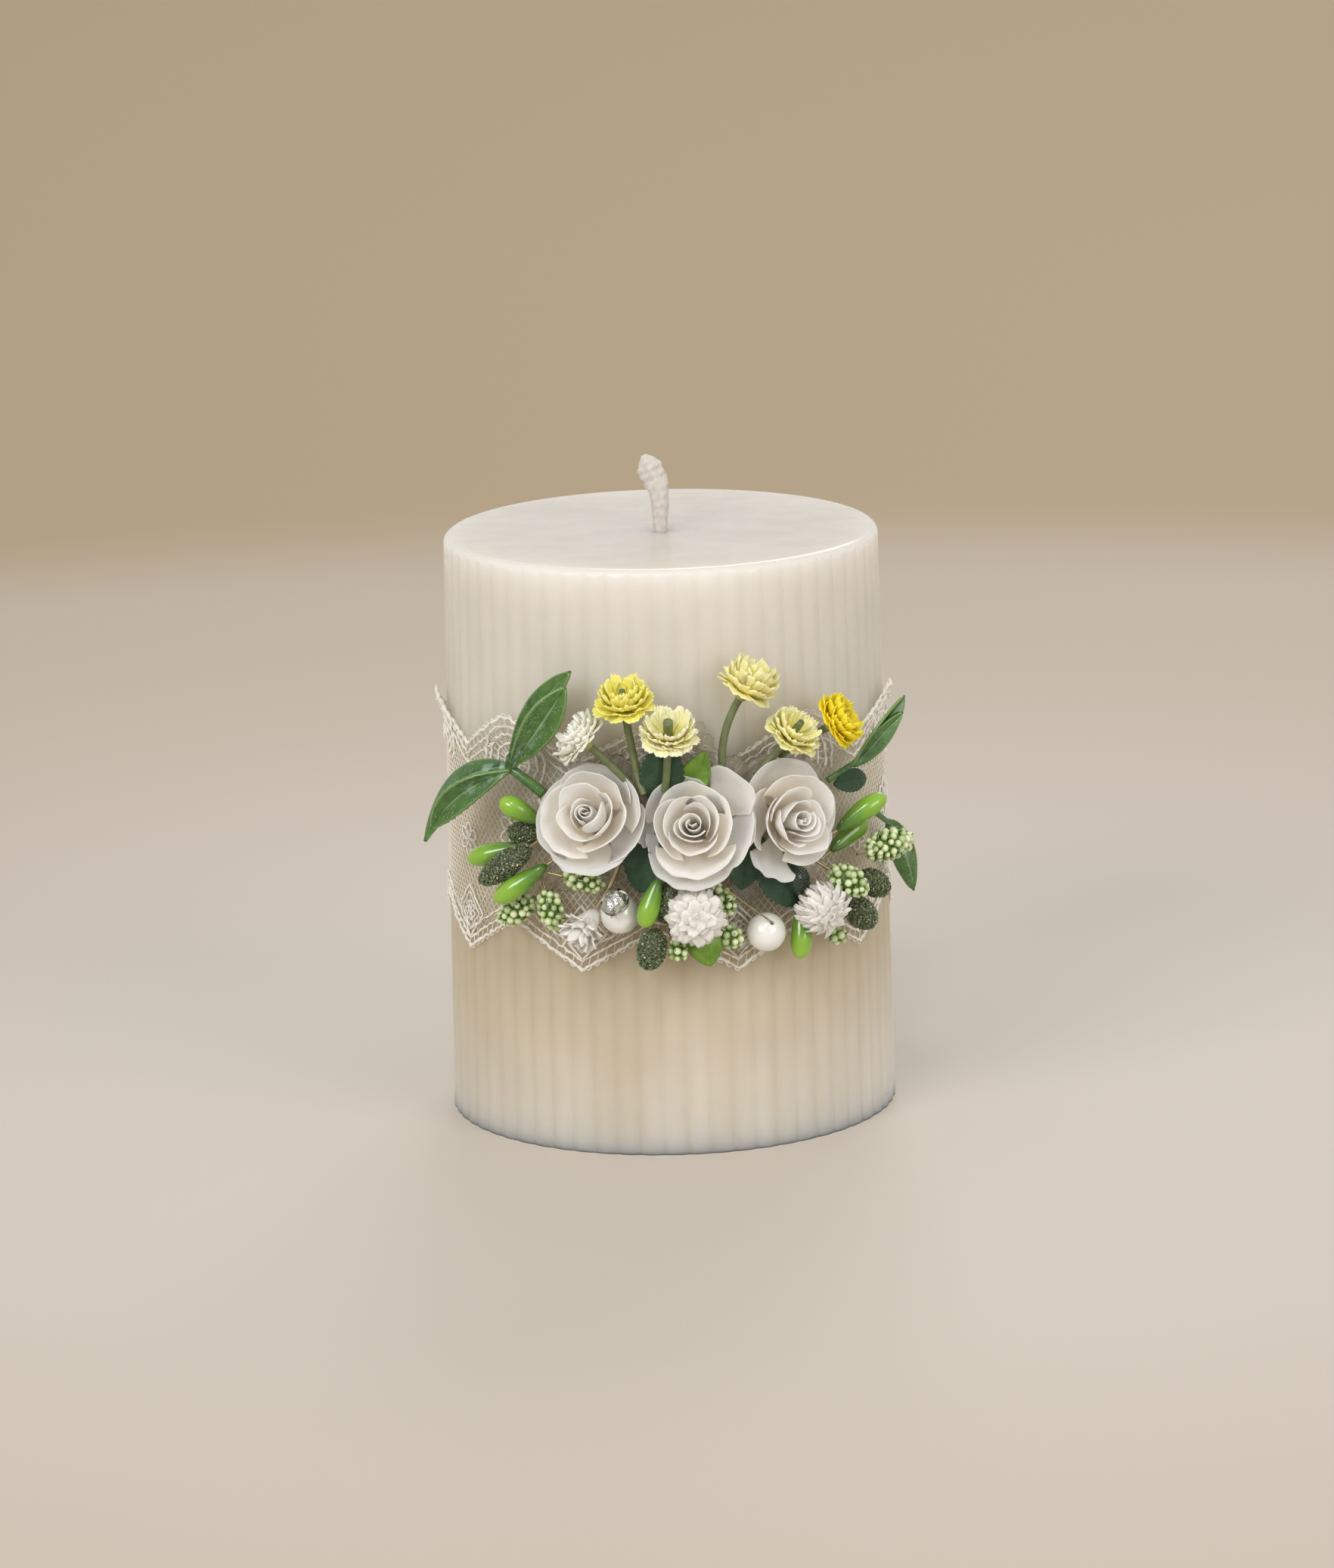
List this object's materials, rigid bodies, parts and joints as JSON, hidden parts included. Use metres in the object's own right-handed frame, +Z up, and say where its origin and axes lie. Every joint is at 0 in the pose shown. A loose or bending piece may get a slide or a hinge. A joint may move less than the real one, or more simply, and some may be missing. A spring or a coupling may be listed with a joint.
{
  "type": "unity candle",
  "caption": "Reeded pillar candle with a lace band and a glued spray of paper roses, small plastic flowers, buds, leaves and pearls.",
  "frame": {"origin": "centre of the wax base, on the surface that the candle stands on", "axes": "+Z up along the wick; -Y is the front, where the spray of flowers faces; +X is the viewer's right"},
  "size_m": [0.081, 0.0933, 0.1128],
  "materials": {
    "wax": "cream candle wax, slightly translucent, smooth satin surface",
    "cotton_wick": "waxed cotton braid",
    "tab_metal": "thin pressed metal",
    "lace": "openwork cream lace",
    "hot_glue": "clear hot-melt adhesive, lumpy and glossy",
    "rose_paper": "off-white mulberry paper",
    "pale_yellow_plastic": "pale yellow moulded plastic",
    "bright_yellow_plastic": "bright yellow moulded plastic",
    "stem_plastic": "muted green moulded plastic",
    "white_plastic": "white moulded plastic",
    "leaf_plastic": "glossy mid green with a pale shimmer",
    "bract_plastic": "light green moulded plastic",
    "leaf_fabric": "dark green woven polyester",
    "bud_plastic": "glossy lime green dip",
    "pod_plastic": "dark green, coated in glittering granules",
    "seed_plastic": "pale green beads in dark green sepals",
    "pearl": "pearl lustre",
    "clear_acrylic": "clear acrylic",
    "wire_steel": "fine florist's wire"
  },
  "bodies": {
    "root": {"candle_body": "wax", "crystal_bead_left": "clear_acrylic", "crystal_bead_right": "clear_acrylic", "fabric_leaves": "leaf_fabric", "floral_wires": "wire_steel", "glue_bed": "hot_glue", "green_bracts": "bract_plastic", "green_bud_left_lower": "bud_plastic", "green_bud_left_middle": "bud_plastic", "green_bud_left_upper": "bud_plastic", "green_bud_middle": "bud_plastic", "green_bud_right_hidden": "bud_plastic", "green_bud_right_lower": "bud_plastic", "green_bud_right_upper": "bud_plastic", "lace_band": "lace", "lace_seam_glue": "hot_glue", "leaf_right_lower": "leaf_plastic", "leaf_right_upper": "leaf_plastic", "leaf_sprig_left": "leaf_plastic", "pearl_left": "pearl", "pearl_right": "pearl", "rose_centre_heart": "rose_paper", "rose_centre_petals": "rose_paper", "rose_left_heart": "rose_paper", "rose_left_petals": "rose_paper", "rose_right_heart": "rose_paper", "rose_right_petals": "rose_paper", "seed_head_left_inner": "seed_plastic", "seed_head_left_outer": "seed_plastic", "seed_head_middle_end": "seed_plastic", "seed_head_middle_lower": "seed_plastic", "seed_head_middle_upper": "seed_plastic", "seed_head_right_lower": "seed_plastic", "seed_head_right_middle": "seed_plastic", "seed_head_right_upper": "seed_plastic", "seed_head_under_left_rose": "seed_plastic", "sugared_pod_left_lower": "pod_plastic", "sugared_pod_left_upper": "pod_plastic", "sugared_pod_middle_lower": "pod_plastic", "sugared_pod_middle_upper": "pod_plastic", "sugared_pod_right_lower": "pod_plastic", "sugared_pod_right_upper": "pod_plastic", "white_flower_centre": "white_plastic", "white_flower_left": "white_plastic", "white_flower_right": "white_plastic", "wick": "cotton_wick", "wick_tab": "tab_metal", "yellow_flower_bright_left": "bright_yellow_plastic", "yellow_flower_bright_right": "bright_yellow_plastic", "yellow_flower_deep_right": "bright_yellow_plastic", "yellow_flower_pale_left": "pale_yellow_plastic", "yellow_flower_pale_middle": "pale_yellow_plastic", "yellow_flower_pale_tall": "pale_yellow_plastic", "yellow_stem_bright_left": "stem_plastic", "yellow_stem_bright_right": "stem_plastic", "yellow_stem_deep_right": "stem_plastic", "yellow_stem_pale_left": "stem_plastic", "yellow_stem_pale_middle": "stem_plastic", "yellow_stem_pale_tall": "stem_plastic"}
  },
  "joints": []
}
